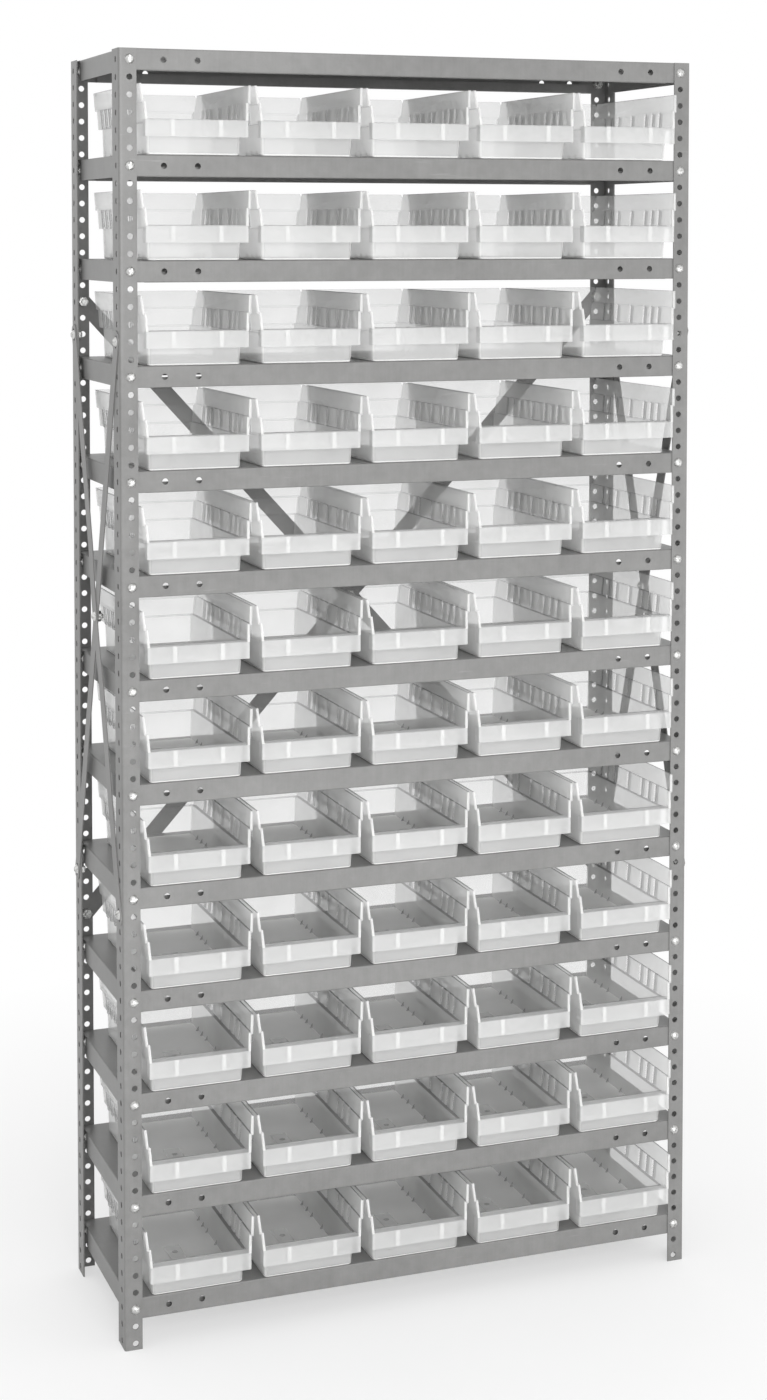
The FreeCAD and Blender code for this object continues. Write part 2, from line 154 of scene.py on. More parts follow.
class Wire:
    # A socket that Python's operators can work on
    def __init__(self, tree, socket):
        self.tree = tree
        self.socket = socket

    def sums(self, operation, first, second=None):
        node = self.tree.nodes.new("ShaderNodeMath")
        node.operation = operation
        for slot, value in zip(node.inputs, (first, second)):
            if isinstance(value, Wire):
                self.tree.links.new(value.socket, slot)
            elif value is not None:
                slot.default_value = value
        return Wire(self.tree, node.outputs[0])

    def __add__(self, other):
        return self.sums("ADD", self, other)

    def __radd__(self, other):
        return self.sums("ADD", other, self)

    def __sub__(self, other):
        return self.sums("SUBTRACT", self, other)

    def __rsub__(self, other):
        return self.sums("SUBTRACT", other, self)

    def __mul__(self, other):
        return self.sums("MULTIPLY", self, other)

    def __rmul__(self, other):
        return self.sums("MULTIPLY", other, self)

    def atMost(self, other):
        return self.sums("MINIMUM", self, other)


class Finish:
    # One material, or the world, being wired up
    def __init__(self, owner):
        owner.use_nodes = True
        self.owner = owner
        self.tree = owner.node_tree
        self.tree.nodes.clear()

    def node(self, kind, settings=None, inputs=None, output=0):
        made = self.tree.nodes.new("ShaderNode" + kind)
        for key, value in (settings or {}).items():
            setattr(made, key, value)
        for key, value in (inputs or {}).items():
            slot = made.inputs[key]
            if isinstance(value, Wire):
                self.tree.links.new(value.socket, slot)
            else:
                slot.default_value = value
        return Wire(self.tree, made.outputs[output]) if len(made.outputs) else made

    def noise(self, place, scale, detail=2.0, roughness=0.5):
        return self.node("TexNoise", {}, {
            "Vector": place, "Scale": scale, "Detail": detail, "Roughness": roughness})

    def spread(self, value, low, high, toLow=0.0, toHigh=1.0):
        return self.node("MapRange", {"clamp": True}, {
            "Value": value, "From Min": low, "From Max": high, "To Min": toLow, "To Max": toHigh})

    def blendColour(self, share, first, second):
        return self.node("Mix", {"data_type": "RGBA"}, {0: share, 6: first, 7: second}, 2)

    def place(self, scale=(1, 1, 1)):
        coords = self.node("TexCoord", output=3)
        return self.node("Mapping", {}, {"Vector": coords, "Scale": scale})

    def bump(self, height, strength, distance):
        return self.node("Bump", {}, {"Height": height, "Strength": strength, "Distance": distance})

    def done(self, shader, kind="OutputMaterial"):
        self.node(kind, {}, {"Surface": shader})
        return self.owner


def grey(value, alpha=1.0):
    return (value, value, value, alpha)


enamel = {
    "dark": (0.174, 0.173, 0.170, 1), "light": (0.238, 0.237, 0.233, 1),
    "chip": (0.350, 0.350, 0.345, 1), "chipShare": 0.55, "roughness": 0.36, "peel": 0.16,
    "broadScale": 7.0, "cloudScale": 55.0, "grainScale": 900.0, "peelScale": 420.0,
    "runScale": (260.0, 260.0, 9.0), "rubScale": (9.0, 160.0, 160.0),
}


def greyEnamel(name):
    f = Finish(bpy.data.materials.new(name))
    here = f.place()
    broad = f.noise(here, enamel["broadScale"], 3.0)
    cloud = f.noise(here, enamel["cloudScale"], 4.0, 0.6)
    grain = f.noise(here, enamel["grainScale"], 3.0, 0.65)
    peel = f.noise(here, enamel["peelScale"], 2.0)
    runs = f.noise(f.place(enamel["runScale"]), 1.0, 2.0)
    rubbed = f.noise(f.place(enamel["rubScale"]), 1.0, 3.0, 0.7)
    shade = broad * 0.35 + cloud * 0.30 + grain * 0.25 + runs * 0.10
    colour = f.blendColour(f.spread(shade, 0.36, 0.64), enamel["dark"], enamel["light"])
    scuff = f.spread(rubbed, 0.66, 0.78) * f.spread(broad, 0.45, 0.6) * enamel["chipShare"]
    colour = f.blendColour(scuff, colour, enamel["chip"])
    rough = enamel["roughness"] + (cloud - 0.5) * 0.22 + scuff * 0.15
    height = peel * 0.7 + grain * 0.3
    paint = f.node("BsdfPrincipled", {}, {
        "Base Color": colour, "Roughness": rough, "Normal": f.bump(height, enamel["peel"], 0.0004),
        "IOR": 1.5, "Specular IOR Level": 0.45})
    return f.done(paint)


zinc = {
    "dull": (0.50, 0.50, 0.49, 1), "bright": (0.80, 0.80, 0.79, 1), "smooth": 0.22, "rough": 0.42,
    "blotchScale": 260.0, "fineScale": 1800.0,
}


def zincPlate(name):
    f = Finish(bpy.data.materials.new(name))
    here = f.place()
    blotch = f.noise(here, zinc["blotchScale"], 4.0, 0.6)
    fine = f.noise(here, zinc["fineScale"], 2.0)
    rough = f.spread(blotch, 0.3, 0.7, zinc["smooth"], zinc["rough"])
    colour = f.blendColour(f.spread(blotch, 0.35, 0.65), zinc["dull"], zinc["bright"])
    metal = f.node("BsdfPrincipled", {}, {
        "Base Color": colour, "Metallic": 1.0, "Roughness": rough,
        "Normal": f.bump(fine, 0.12, 0.0002)})
    return f.done(metal)


# shaded is the dark grey that the faces' painted shade blends toward
plastic = {
    "colour": (0.905, 0.908, 0.902, 1), "milky": (0.945, 0.946, 0.938, 1),
    "shaded": (0.200, 0.203, 0.206, 1), "veil": 0.17, "dense": 0.72, "roughness": 0.34,
    "cloudScale": 16.0, "flowScale": (9.0, 4.0, 22.0), "frostScale": 1500.0, "satinScale": 380.0,
}


def frostedPlastic(name):
    # Natural polypropylene: see-through walls with a milky cloud in them, denser where it is thick
    f = Finish(bpy.data.materials.new(name))
    here = f.place()
    cloud = f.noise(here, plastic["cloudScale"], 1.0, 0.5)
    flow = f.noise(f.place(plastic["flowScale"]), 1.0, 1.0, 0.5)
    frost = f.noise(here, plastic["frostScale"], 2.0, 0.6)
    satin = f.noise(here, plastic["satinScale"], 2.0)
    thick = f.node("Attribute", {"attribute_name": "thickness"}, output=2)
    haze = f.spread(cloud * 0.55 + flow * 0.45, 0.38, 0.62)
    veil = plastic["veil"] + (haze - 0.5) * 0.04 + thick * (plastic["dense"] - plastic["veil"])
    shade = f.node("Attribute", {"attribute_name": "shade"}, output=2)
    colour = f.blendColour((haze * 0.5 + thick * 0.5).atMost(1.0), plastic["colour"], plastic["milky"])
    # Painted shade: each face's shade value blends its colour toward the dark shaded grey
    colour = f.blendColour(shade, colour, plastic["shaded"])
    rough = plastic["roughness"] + (frost - 0.5) * 0.12 + haze * 0.06
    shader = f.node("BsdfPrincipled", {}, {
        "Base Color": colour, "Roughness": rough, "Alpha": veil, "IOR": 1.49,
        "Normal": f.bump(satin * 0.6 + frost * 0.4, 0.10, 0.0003)})
    made = f.done(shader)
    made.surface_render_method = "BLENDED"
    return made


steelFinish = greyEnamel("greyEnamel")
zincFinish = zincPlate("zincPlate")
plasticFinish = frostedPlastic("frostedPlastic")
print("stage: finishes written")


# Posts

post = {
    "halfWidth": 457.2, "depth": 304.8, "height": 1905.0, "sheet": 1.9, "bend": 3.0,
    "frontFlange": 26.7, "sideFlange": 38.1, "holeRadius": 4.5, "pitch": 25.4, "topHole": 15.875,
    "holes": 75, "holeSides": 16, "frontInset": 16.5, "sideInset": 17.2, "cellHalf": 10.2,
}


def perforatedStrip(bm, inset):
    # One flange in the x-z plane: a ring of faces round a hole, repeated down the post
    ring = bmesh.ops.create_circle(bm, segments=post["holeSides"], radius=post["holeRadius"],
                                   cap_ends=False)["verts"]
    middle = Vector((inset, 0, post["height"] - post["topHole"]))
    for v in ring:
        v.co = Vector((v.co.x, 0, v.co.y))
    ringEdges = list(dict.fromkeys(e for v in ring for e in v.link_edges))

    def toCell(co):
        longest = max(abs(co.x), abs(co.z))
        return Vector((co.x / longest * post["cellHalf"], 0, co.z / longest * post["pitch"] / 2))

    cell = ring + extrudeEdges(bm, ringEdges, toCell)[0]
    bmesh.ops.translate(bm, verts=cell, vec=middle)
    bmesh.ops.spin(bm, geom=geometryOf(cell), axis=(0, 0, 1), cent=(0, 0, 0), dvec=(0, 0, -post["pitch"]),
                   angle=0, steps=post["holes"] - 1, use_duplicate=True)


def flange(low, high, inset):
    # The strip cut off at the floor and widened to the flange's two edges
    bm = bmesh.new()
    perforatedStrip(bm, inset)
    bmesh.ops.remove_doubles(bm, verts=bm.verts, dist=0.01)
    top = post["height"]
    cellTop = top - post["topHole"] + post["pitch"] / 2
    extrudeEdges(bm, edgesWhere(bm, lambda co: near(co.z, cellTop)), lambda co: Vector((co.x, 0, top)))
    bmesh.ops.bisect_plane(bm, geom=list(bm.verts) + list(bm.edges) + list(bm.faces), dist=0.001,
                           plane_co=(0, 0, 0), plane_no=(0, 0, -1), clear_outer=True)
    for side, target in ((-1, low), (1, high)):
        edge = inset + side * post["cellHalf"]
        if not near(edge, target):
            border = edgesWhere(bm, lambda co: near(co.x, edge))
            extrudeEdges(bm, border, lambda co: Vector((target, 0, co.z)))
    bm.normal_update()
    bmesh.ops.reverse_faces(bm, faces=[f for f in bm.faces if f.normal.y > 0])
    return bm


def postMesh():
    # The front left post, its corner at x = -halfWidth, y = 0
    front = flange(0, post["frontFlange"], post["frontInset"])
    side = flange(0, post["sideFlange"], post["sideInset"])
    bmesh.ops.reverse_faces(side, faces=side.faces)
    quarterTurn = Matrix.Rotation(math.radians(90), 3, "Z")
    bmesh.ops.rotate(side, verts=side.verts, cent=(0, 0, 0), matrix=quarterTurn)
    sideMesh = meshFrom(side, "side")
    front.from_mesh(sideMesh)
    bmesh.ops.remove_doubles(front, verts=front.verts, dist=0.01)
    roundEdges(front, edgesWhere(front, lambda co: near(co.x, 0) and near(co.y, 0)), post["bend"], 4)
    bmesh.ops.translate(front, verts=front.verts, vec=(-post["halfWidth"], 0, 0))
    return withModifiers(meshFrom(front, "post"), [wallOf(post["sheet"])])


toRight = Matrix.Scale(-1, 4, (1, 0, 0))
toRear = Matrix.Translation((0, post["depth"], 0)) @ Matrix.Scale(-1, 4, (0, 1, 0))
onePost = postMesh()
for name, turn in (("front_left", Matrix()), ("front_right", toRight),
                   ("rear_left", toRear), ("rear_right", toRight @ toRear)):
    corner = "post_" + name
    addPiece("angle_" + corner, [(onePost, turn)], steelFinish, "frame", [corner])
print("stage: posts,", len(onePost.polygons), "faces each")


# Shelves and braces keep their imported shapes

shelf = {"count": 13, "holesApart": 6, "sheet": 0.9}
brace = {"sheet": 1.5, "sideHoles": (16, 49), "backHoles": (14, 52)}

for name, node in nodes.items():
    isShelf = name.startswith("shelf_") and name[6:].isdigit()
    if isShelf or name in ("brace_left", "brace_right", "brace_back"):
        node.data.materials.clear()
        node.data.materials.append(steelFinish)
print("stage: shelves and braces painted")


# Bolts and nuts

fastener = {
    "headRadius": 7.15, "headHeight": 5.0, "shankRadius": 3.95, "length": 12.7, "slotWidth": 1.6,
    "slotDepth": 2.2, "slotEdge": 0.12, "acrossFlats": 14.3, "nutThickness": 6.8, "chamfer": 0.9,
    "chamferRise": 0.55, "rimWidth": 2.4, "dish": 0.12, "threadPitch": 1.41, "threadDepth": 0.45,
    "threadStart": 4.5, "threadEnd": 0.6, "turnStep": 137.5, "steps": 20, "headRings": 6, "headLip": 0.25,
}


def boltMesh():
    # Along z from the face it bears on, the head below zero
    head, tall = fastener["headRadius"], fastener["headHeight"]
    ball = (head ** 2 + tall ** 2) / (2 * tall)
    reach = math.asin(head / ball)
    line = []
    for step in range(fastener["headRings"] + 1):
        angle = reach * step / fastener["headRings"]
        line.append((ball * math.sin(angle), ball - tall - ball * math.cos(angle)))
    line.append((head - fastener["headLip"], 0))
    shank, depth, pitch = fastener["shankRadius"], fastener["threadDepth"], fastener["threadPitch"]
    z = fastener["threadStart"]
    line += [(shank, 0), (shank, z)]
    while z + pitch < fastener["length"] - fastener["threadEnd"]:
        line += [(shank - depth, z + pitch / 2), (shank, z + pitch)]
        z += pitch
    line += [(shank - depth, fastener["length"]), (0, fastener["length"])]
    bm = bmesh.new()
    verts = [bm.verts.new((radius, 0, height)) for radius, height in line]
    edges = [bm.edges.new(pair) for pair in zip(verts, verts[1:])]
    bmesh.ops.spin(bm, geom=verts + edges, axis=(0, 0, 1), cent=(0, 0, 0), angle=math.tau,
                   steps=fastener["steps"], use_merge=True)
    bmesh.ops.remove_doubles(bm, verts=bm.verts, dist=0.005)
    half, edge, floor = fastener["slotWidth"] / 2, fastener["slotEdge"], fastener["slotDepth"] - tall
    for x in (-half, -half + edge, half - edge, half):
        geom = [v for v in bm.verts if v.co.z < 0.01]
        geom += edgesWhere(bm, lambda co: co.z < 0.01) + facesWhere(bm, lambda co: co.z < 0.01)
        bmesh.ops.bisect_plane(bm, geom=geom, dist=0.001, plane_co=(x, 0, 0), plane_no=(1, 0, 0))
    for v in bm.verts:  # the screwdriver slot
        if abs(v.co.x) < half - edge / 2 and v.co.z < floor:
            v.co.z = floor
    bmesh.ops.recalc_face_normals(bm, faces=bm.faces)
    return meshFrom(bm, "bolt")


def nutMesh():
    # A hexagon with its corners taken off and a dished rim
    radius, tall = fastener["acrossFlats"] / 2 / math.cos(math.radians(30)), fastener["nutThickness"]
    bm = bmesh.new()
    bmesh.ops.create_cone(bm, cap_ends=True, segments=6, radius1=radius, radius2=radius, depth=tall)
    flatsFirst = Matrix.Rotation(math.radians(30), 3, "Z")
    bmesh.ops.rotate(bm, verts=bm.verts, cent=(0, 0, 0), matrix=flatsFirst)
    bmesh.ops.translate(bm, verts=bm.verts, vec=(0, 0, tall / 2))
    corners = [e for e in bm.edges if abs(e.verts[0].co.z - e.verts[1].co.z) > 1]
    bmesh.ops.subdivide_edges(bm, edges=corners, cuts=2, use_grid_fill=False)
    for v in bm.verts:
        if near(v.co.z, 0) or near(v.co.z, tall):
            v.co.x *= 1 - fastener["chamfer"] / radius
            v.co.y *= 1 - fastener["chamfer"] / radius
        else:
            rise = fastener["chamferRise"]
            v.co.z = tall - rise if v.co.z > tall / 2 else rise
    caps = [g for g in bm.faces if abs(g.normal.z) > 0.9]
    bmesh.ops.inset_individual(bm, faces=caps, thickness=fastener["rimWidth"], depth=fastener["dish"])
    bmesh.ops.recalc_face_normals(bm, faces=bm.faces)
    return meshFrom(bm, "nut")


def seatAt(point, inward, turn=0.0):
    # Where a fastener goes whose axis runs inward from this point
    lean = Vector((0, 0, 1)).rotation_difference(Vector(inward)).to_matrix().to_4x4()
    return Matrix.Translation(point) @ lean @ Matrix.Rotation(math.radians(turn), 4, "Z")


boltX = post["halfWidth"] - post["frontInset"]
grip = post["sheet"] + shelf["sheet"]
oneBolt, oneNut = boltMesh(), nutMesh()
bolts, nuts = [], []
for level in range(shelf["count"]):
    z = post["height"] - post["topHole"] - level * shelf["holesApart"] * post["pitch"]
    for x in (-boltX, boltX):
        for y, way in ((0, 1), (post["depth"], -1)):
            bolts.append((oneBolt, seatAt((x, y, z), (0, way, 0), len(bolts) * fastener["turnStep"])))
            nuts.append((oneNut, seatAt((x, y + way * grip, z), (0, way, 0))))
addPiece("shelf_bolt_set", bolts, zincFinish, "frame", ["shelf_bolts"], 40)
addPiece("shelf_nut_set", nuts, zincFinish, "frame", ["shelf_nuts"], 25)


def braceSet(first, second, outward, holes):
    # Bolts at the four ends of a crossed pair of straps, and one where they cross
    heights = [post["height"] - post["topHole"] - hole * post["pitch"] for hole in holes]
    out, strap = Vector(outward), brace["sheet"]
    ends = [Vector(spot) + Vector((0, 0, z)) for spot in (first, second) for z in heights]
    rows = [(end, strap, post["sheet"]) for end in ends]
    middle = (Vector(first) + Vector(second)) / 2 + Vector((0, 0, sum(heights) / 2))
    rows.append((middle, 2 * strap, 0))
    for index, (point, standOff, sheet) in enumerate(rows):
        braceBolts.append((oneBolt, seatAt(point + out * standOff, -out, index * fastener["turnStep"])))
        braceNuts.append((oneNut, seatAt(point - out * sheet, -out)))


braceBolts, braceNuts = [], []
sideNear, sideFar = post["sideInset"], post["depth"] - post["sideInset"]
for side in (-1, 1):
    x = side * post["halfWidth"]
    braceSet((x, sideNear, 0), (x, sideFar, 0), (side, 0, 0), brace["sideHoles"])
braceSet((-boltX, post["depth"], 0), (boltX, post["depth"], 0), (0, 1, 0), brace["backHoles"])
addPiece("brace_bolt_set", braceBolts, zincFinish, "frame", ["brace_bolts"], 40)
addPiece("brace_nut_set", braceNuts, zincFinish, "frame", ["brace_nuts"], 25)
print("stage: fasteners,", len(bolts) + len(braceBolts), "bolts of", len(oneBolt.polygons), "faces")


# Bins

bin_ = {
    "rows": 12, "columns": 5, "sharedRows": 6, "step": 172.7, "seat": 0.3, "wall": 2.2,
    "floorHalf": 69.5, "lowHalf": 71.2, "midFoot": 76.9, "midHalf": 79.2, "topFoot": 81.8,
    "topHalf": 84.15, "bandHalf": 77.3, "lowTop": 46.0, "midTop": 74.0, "rim": 101.6,
    "lowRear": 271.7, "midRear": 273.7, "topRear": 275.7, "lipTop": 50.8, "lean": 4.9,
    "bandFront": -19.6, "bandFoot": 25.4, "rake": 8.3, "rearCorner": 7.0, "frontCorner": 6.0,
    "footRound": 2.4, "bandRound": 1.6, "bandInset": 0.05, "bandDrop": 0.1, "notch": 6.0,
    "slotCentre": 132.6, "slotPitch": 24.4, "slotSteps": (-4, -3, -2, 0, 2, 3, 4),
    "slotHalf": 5.0, "slotDraft": 0.9, "slotDepth": 2.5,
}

# Thicker places of the bin: its beads, ribs, band ends and gussets, and the floor's pad with its mark
trim = {
    "sunk": 0.2, "beadWide": 4.0, "beadDeep": 3.2, "beadSkin": 0.15, "beadLap": 1.0,
    "beadLow": 0.3, "beadHigh": 1.9, "bandGap": 0.6, "ribMiddle": 36.0, "ribWide": 6.5,
    "ribFront": 0.3, "ribBack": 3.6, "endOut": 0.5, "endIn": 4.5, "endFront": 0.4, "endBack": 3.4,
    "gussetHalf": 1.3, "gussetReach": 4.0, "gussetRoot": 0.5, "gussetTall": 7.2, "gussetFoot": 0.7,
    "padWide": 25.0, "padLong": 49.0, "padMiddle": 129.0, "padTall": 0.7,
    "markFoot": 4.8, "markTop": 4.2, "markTall": 0.5, "markRise": 0.9, "markSides": 24,
}

# How dense the plastic looks for each kind of face, and how much painted shade darkens it: the rim strip,
# ledges, divider pockets and gussets carry painted shade, and the band and lower front wall are toned
# darker
look = {
    "rim": (1.0, 0.85), "floor": (0.95, 0.0), "floorEdge": (1.0, 0.0), "ledge": (0.60, 0.80),
    "sideWall": (0.34, 0.0), "frontWall": (0.45, 0.36), "rearWall": (0.0, 0.0), "corner": (0.45, 0.0),
    "pocket": (0.60, 1.0), "pocketSide": (0.35, 0.45), "lip": (0.42, 0.32), "rib": (1.0, 0.0),
    "bead": (0.70, 0.10), "gusset": (0.35, 0.80), "pad": (0.30, 0.03),
}


def frontAt(z):
    # The front wall leans out towards its top
    return -bin_["lean"] * z / bin_["lipTop"]


def sideEdgeAt(z):
    # The front edge of a side wall rakes back above the lip
    return bin_["bandFront"] + bin_["rake"] * (z - bin_["lipTop"]) / (bin_["rim"] - bin_["lipTop"])


def tubSheet():
    # The outside of the tub as one open sheet: a cube without its lid, stepped out twice on three sides
    b = bin_
    bm = bmesh.new()
    block(bm, (-b["lowHalf"], b["lowHalf"]), (0, b["lowRear"]), (0, b["lowTop"]),
          (frontAt(b["lowTop"]), b["lowRear"]))
    for v in bm.verts:
        if near(v.co.z, 0):
            v.co.x = math.copysign(b["floorHalf"], v.co.x)
    bmesh.ops.delete(bm, geom=facesWhere(bm, lambda co: near(co.z, b["lowTop"])), context="FACES_ONLY")
    lipEdges = edgesWhere(bm, lambda co: near(co.z, b["lowTop"]) and co.y < 0)
    ring = [e for e in edgesWhere(bm, lambda co: near(co.z, b["lowTop"])) if e not in lipEdges]
    extrudeEdges(bm, lipEdges, lambda co: Vector((co.x, frontAt(b["lipTop"]), b["lipTop"])))

    def moved(half, rear, front, z):
        return lambda co: Vector((math.copysign(half, co.x), rear if co.y > 100 else front, z))

    steps = (
        (b["midFoot"], b["midRear"], b["bandFront"], b["lowTop"]),
        (b["midHalf"], b["midRear"], sideEdgeAt(b["midTop"]), b["midTop"]),
        (b["topFoot"], b["topRear"], sideEdgeAt(b["midTop"]), b["midTop"]),
        (b["topHalf"], b["topRear"], sideEdgeAt(b["rim"]), b["rim"]),
    )
    for step in steps:
        verts, ring = extrudeEdges(bm, ring, moved(*step))
        ring = [e for e in ring if all(v in verts for v in e.verts)]
    return bm


def cutSlots(bm):
    # Pockets that divider plates slide into, down both sides of the middle step
    b = bin_
    half, draft = b["slotHalf"], b["slotDraft"]
    centres = [b["slotCentre"] + step * b["slotPitch"] for step in b["slotSteps"]]

    def onMiddleStep(co):
        return b["lowTop"] - 0.1 < co.z < b["midTop"] + 0.1 and abs(co.x) > b["lowHalf"] - 0.1

    for centre in centres:
        for offset in (-half, -half + draft, half - draft, half):
            walls = [f for f in facesWhere(bm, onMiddleStep) if abs(f.normal.y) < 0.5]
            edges = dict.fromkeys(e for f in walls for e in f.edges)
            verts = dict.fromkeys(v for f in walls for v in f.verts)
            bmesh.ops.bisect_plane(bm, geom=walls + list(edges) + list(verts), dist=0.001,
                                   plane_co=(0, centre + offset, 0), plane_no=(0, 1, 0))
    for v in bm.verts:
        inSlot = any(abs(v.co.y - centre) < half - draft + 0.1 for centre in centres)
        wall = b["midFoot"] if near(v.co.z, b["lowTop"]) else b["midHalf"]
        if inSlot and near(abs(v.co.x), wall, 0.2):
            v.co.x += math.copysign(b["slotDepth"], v.co.x)


def tubMesh():
    b = bin_
    bm = tubSheet()
    cutSlots(bm)

    def onRearCorner(co):
        spots = ((b["floorHalf"], b["lowRear"]), (b["lowHalf"], b["lowRear"]),
                 (b["midFoot"], b["midRear"]), (b["midHalf"], b["midRear"]),
                 (b["topFoot"], b["topRear"]), (b["topHalf"], b["topRear"]))
        return any(near(abs(co.x), x) and near(co.y, y) for x, y in spots)

    def onFrontCorner(co):
        return b["floorHalf"] - 0.1 < abs(co.x) < b["lowHalf"] + 0.1 and co.y < 0.1

    rearEdges = [e for e in edgesWhere(bm, onRearCorner) if e.verts[0].co.x * e.verts[1].co.x > 0]
    roundEdges(bm, rearEdges, b["rearCorner"], 4)
    frontEdges = [e for e in edgesWhere(bm, onFrontCorner) if e.verts[0].co.x * e.verts[1].co.x > 0
                  and abs(e.verts[0].co.z - e.verts[1].co.z) > 1]
    roundEdges(bm, frontEdges, b["frontCorner"], 3)
    roundEdges(bm, [e for e in edgesWhere(bm, lambda co: near(co.z, 0)) if len(e.link_faces) == 2
                    and e.calc_face_angle(0) > 0.5], b["footRound"], 3)
    for v in bm.verts:  # the V notches in the rear corners of the rim
        onDiagonal = near(b["topHalf"] - abs(v.co.x), b["topRear"] - v.co.y, 0.3)
        if near(v.co.z, b["rim"]) and onDiagonal and v.co.y > 200:
            v.co.z -= b["notch"]
    bmesh.ops.recalc_face_normals(bm, faces=bm.faces)
    floor = min(bm.faces, key=lambda face: face.calc_center_median().z)
    if floor.normal.z > 0:
        bmesh.ops.reverse_faces(bm, faces=bm.faces)
    return withModifiers(meshFrom(bm, "tub"), [wallOf(b["wall"]), softEdges(0.45)])


def lipMesh():
    # The hooked lip: a box open below and behind, hung on the front wall, with thicker ribs in its band
    b = bin_
    bm = bmesh.new()
    half, top = b["bandHalf"] - b["bandInset"], b["lipTop"] - b["bandDrop"]
    block(bm, (-half, half), (b["bandFront"], frontAt(b["lipTop"])), (b["bandFoot"], top))
    gone = [f for f in bm.faces if f.normal.z < -0.9 or f.normal.y > 0.9]
    bmesh.ops.delete(bm, geom=gone, context="FACES_ONLY")
    inFront = [e for e in bm.edges if all(v.co.y < b["bandFront"] + 1 for v in e.verts)]
    roundEdges(bm, [e for e in inFront if len(e.link_faces) == 2], b["bandRound"], 3)
    bmesh.ops.recalc_face_normals(bm, faces=bm.faces)
    front = min(bm.faces, key=lambda face: face.calc_center_median().y)
    if front.normal.y > 0:
        bmesh.ops.reverse_faces(bm, faces=bm.faces)
    return withModifiers(meshFrom(bm, "lip"), [wallOf(b["wall"]), softEdges(0.4)])


def trimMesh():
    # Beads on the walls' front edges, ribs in the band, gussets at the walls' foot, and the floor's pad
    b, t = bin_, trim
    bm = bmesh.new()
    spans = ((b["bandHalf"], b["midHalf"], b["lipTop"] - t["beadLap"], b["midTop"] + t["beadHigh"]),
             (b["topFoot"], b["topHalf"], b["midTop"] + t["beadLow"], b["rim"] - t["sunk"]))
    for foot, head, low, high in spans:
        for side in (-1, 1):
            y, topY = [(sideEdgeAt(z) + t["sunk"], sideEdgeAt(z) + t["beadDeep"]) for z in (low, high)]
            for v in block(bm, (0, 1), y, (low, high), topY):
                outer = (head if v.co.z > low + 1 else foot) - t["beadSkin"]
                v.co.x = side * (outer - v.co.x * (t["beadWide"] - t["beadSkin"]))
    front, band = b["bandFront"], (b["bandFoot"] + t["sunk"], b["lipTop"] - t["bandGap"])
    for x in (-t["ribMiddle"], t["ribMiddle"]):
        width = (x - t["ribWide"] / 2, x + t["ribWide"] / 2)
        block(bm, width, (front + t["ribFront"], front + t["ribBack"]), band)
    for side in (-1, 1):  # the band's two ends
        x = sorted((side * (b["bandHalf"] - t["endOut"]), side * (b["bandHalf"] - t["endIn"])))
        block(bm, x, (front + t["endFront"], front + t["endBack"]), band)
    inner, floor = b["floorHalf"] - b["wall"], b["wall"]
    for step in b["slotSteps"]:
        y = b["slotCentre"] + step * b["slotPitch"]
        for side in (-1, 1):
            x = sorted((side * (inner + t["gussetRoot"]), side * (inner - t["gussetReach"])))
            gusset = block(bm, x, (y - t["gussetHalf"], y + t["gussetHalf"]),
                           (floor - t["sunk"], floor + t["gussetTall"]))
            for v in gusset:  # it slopes down from the wall
                if v.co.z > floor and abs(v.co.x) < inner:
                    v.co.z = floor + t["gussetFoot"]
    width, length, middle = t["padWide"], t["padLong"], t["padMiddle"]
    block(bm, (-width / 2, width / 2), (middle - length / 2, middle + length / 2),
          (floor - t["sunk"], floor + t["padTall"]))
    mark = bmesh.ops.create_cone(bm, cap_ends=True, segments=t["markSides"], radius1=t["markFoot"],
                                 radius2=t["markTop"], depth=t["markTall"])["verts"]
    bmesh.ops.translate(bm, verts=mark, vec=(0, middle, floor + t["markRise"]))
    bmesh.ops.recalc_face_normals(bm, faces=bm.faces)
    return withModifiers(meshFrom(bm, "trim"), [softEdges(0.3, 1)])


def tubLook(spot, normal):
    b = bin_
    flat = abs(normal.z) > 0.8
    # Painted shade: the rim's top is darkened into a dark strip
    if spot.z > b["rim"] - 0.7 and spot.y < b["topRear"] - 4:
        return look["rim"]
    if spot.z < b["wall"] + 0.2:
        return look["floor"] if flat else look["floorEdge"]
    # Painted shade: the ledges between the steps are darkened into dark lines
    if flat:
        return look["ledge"]
    if abs(normal.x) > 0.8:
        rise = (spot.z - b["lowTop"]) / (b["midTop"] - b["lowTop"])
        wall = b["midFoot"] + (b["midHalf"] - b["midFoot"]) * rise
        outside = 1.2 if normal.x * spot.x > 0 else 1.2 - b["wall"]
        # Painted shade: the divider pockets are darkened
        sunk = 0 < rise < 1 and abs(spot.x) > wall + outside
        return look["pocket"] if sunk else look["sideWall"]
    if abs(normal.y) > 0.8:
        return look["frontWall"] if spot.y < 20 else look["rearWall"]
    # Painted shade: the pockets' sides are darkened too
    atCorner = spot.y < 12 or spot.y > b["lowRear"] - 10
    return look["corner"] if atCorner else look["pocketSide"]


def lipLook(spot, normal):
    return look["lip"]


def trimLook(spot, normal):
    if spot.y < 20:
        return look["rib"] if abs(spot.x) < trim["ribMiddle"] + trim["ribWide"] else look["bead"]
    # Painted shade: the gussets and the pad's mark are darkened
    onMark = spot.z > bin_["wall"] + trim["padTall"] + 0.05
    return look["gusset"] if abs(spot.x) > trim["padWide"] or onMark else look["pad"]


def binMesh():
    # The three parts in one mesh, each face knowing its look
    bm = bmesh.new()
    for mesh, lookOf in ((tubMesh(), tubLook), (lipMesh(), lipLook), (trimMesh(), trimLook)):
        looks = [lookOf(face.center, face.normal) for face in mesh.polygons]
        for index, name in enumerate(("thickness", "shade")):
            layer = mesh.attributes.new(name, "FLOAT", "FACE")
            layer.data.foreach_set("value", [pair[index] for pair in looks])
        bm.from_mesh(mesh)
    return meshFrom(bm, "bin")


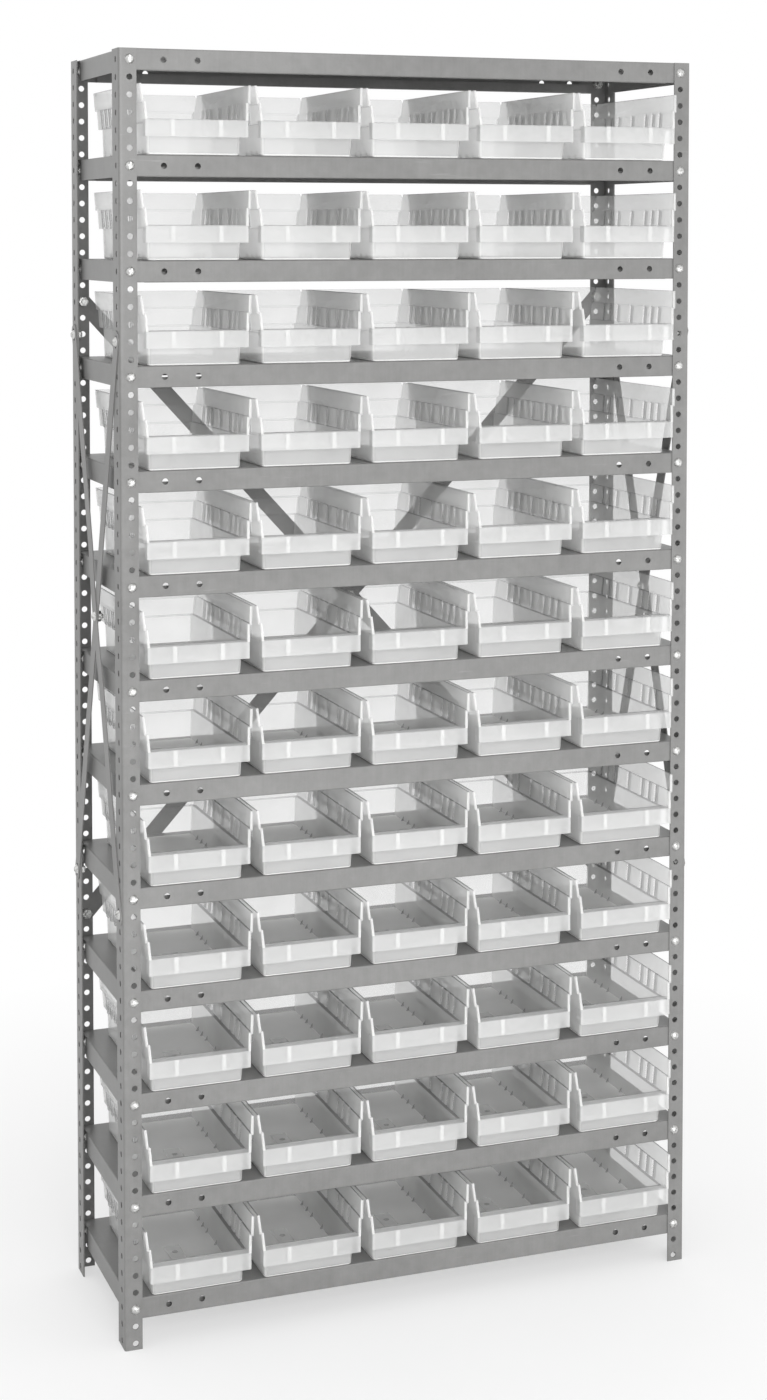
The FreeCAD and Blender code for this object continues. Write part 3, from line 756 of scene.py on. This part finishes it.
oneBin = binMesh()
print("stage: bin modelled,", len(oneBin.polygons), "faces")
for row in range(1, bin_["rows"] + 1):
    z = post["height"] - row * shelf["holesApart"] * post["pitch"] + bin_["seat"]
    middle = (bin_["columns"] - 1) / 2
    places = [Matrix.Translation(((column - middle) * bin_["step"], post["sheet"], z))
              for column in range(bin_["columns"])]
    if row <= bin_["sharedRows"]:
        node = "bin_row_%02d" % row
        group = [(oneBin, place) for place in places]
        addPiece("parts_bins_row_%02d" % row, group, plasticFinish, node, [node])
        continue
    for column, place in enumerate(places):
        node = "bin_%02d_%d" % (row, column + 1)
        addPiece("parts_" + node, [(oneBin, place)], plasticFinish, node, [node])
print("stage: bins placed")


# Studio

studio = {
    "camera": (-1.2828, -3.47935, 1.6376), "heading": 20.26, "pitch": -2.78, "lens": 61.1,
    "shift": -0.25, "ambient": 0.87, "floorColour": 0.88, "floorHalf": 30.0, "white": 1.0,
    "shadowReach": (0.5, 1.6), "shadowWhite": 0.55,
}

# Each lamp's place, what it faces, its size and its watts
lamps = {
    "key": ((-0.5, -3.8, 2.1), (0, 0, 0.8), (1.8, 1.6), 68),
    "fill": ((2.6, -2.4, 0.9), (0, 0, 0.7), (1.6, 1.6), 10),
    "low": ((0.1, -2.0, 0.25), (0, 0, 0.35), (1.6, 0.3), 5),
}


def plainWorld():
    # White to the eye and in reflections, and a little less as light
    world = bpy.data.worlds.new("studio")
    bpy.context.scene.world = world
    f = Finish(world)
    seen = f.node("LightPath", output=0)
    gloss = f.node("LightPath", output=3)
    through = f.node("LightPath", output=6)
    direct = (seen + gloss + through).atMost(1.0)
    strength = studio["ambient"] + direct * (studio["white"] - studio["ambient"])
    f.done(f.node("Background", {}, {"Color": grey(1.0), "Strength": strength}), "OutputWorld")


def plainFloor():
    # Pale paint near the unit for its shadow, going over to white further out
    bm = bmesh.new()
    bmesh.ops.create_grid(bm, x_segments=1, y_segments=1, size=studio["floorHalf"])
    floor = bpy.data.objects.new("floor", meshFrom(bm, "floor"))
    bpy.context.scene.collection.objects.link(floor)
    f = Finish(bpy.data.materials.new("floorPaint"))
    here = f.place()
    soft = f.noise(here, 3.0, 2.0)
    tone = studio["floorColour"]
    pale = f.blendColour(f.spread(soft, 0.3, 0.7), grey(tone - 0.02), grey(tone))
    paint = f.node("BsdfPrincipled", {}, {"Base Color": pale, "Roughness": 0.8})
    seen = f.node("LightPath", output=0)
    far = f.node("VectorMath", {"operation": "LENGTH"}, {0: here}, 1)
    white = f.node("Emission", {}, {"Color": grey(1.0), "Strength": studio["white"]})
    share = seen * f.spread(far, *studio["shadowReach"], studio["shadowWhite"], 1.0)
    f.done(f.node("MixShader", {}, {0: share, 1: paint, 2: white}))
    floor.data.materials.append(f.owner)


def areaLight(name, place, target, size, power):
    lamp = bpy.data.lights.new(name, "AREA")
    lamp.shape = "RECTANGLE"
    lamp.size, lamp.size_y = size
    lamp.energy = power
    holder = bpy.data.objects.new(name, lamp)
    holder.location = place
    holder.rotation_euler = (Vector(target) - Vector(place)).to_track_quat("-Z", "Y").to_euler()
    holder.visible_camera = False
    bpy.context.scene.collection.objects.link(holder)


def camera():
    data = bpy.data.cameras.new("view")
    data.lens = studio["lens"]
    data.sensor_width = 36.0
    data.shift_y = studio["shift"]
    holder = bpy.data.objects.new("view", data)
    holder.location = studio["camera"]
    holder.rotation_euler = (math.radians(90 + studio["pitch"]), 0, -math.radians(studio["heading"]))
    bpy.context.scene.collection.objects.link(holder)
    bpy.context.scene.camera = holder


plainWorld()
plainFloor()
for name, lamp in lamps.items():
    areaLight(name, *lamp)
camera()
bpy.context.scene.view_settings.view_transform = "Standard"
bpy.context.scene.cycles.transparent_max_bounces = 48
print("stage: studio set")
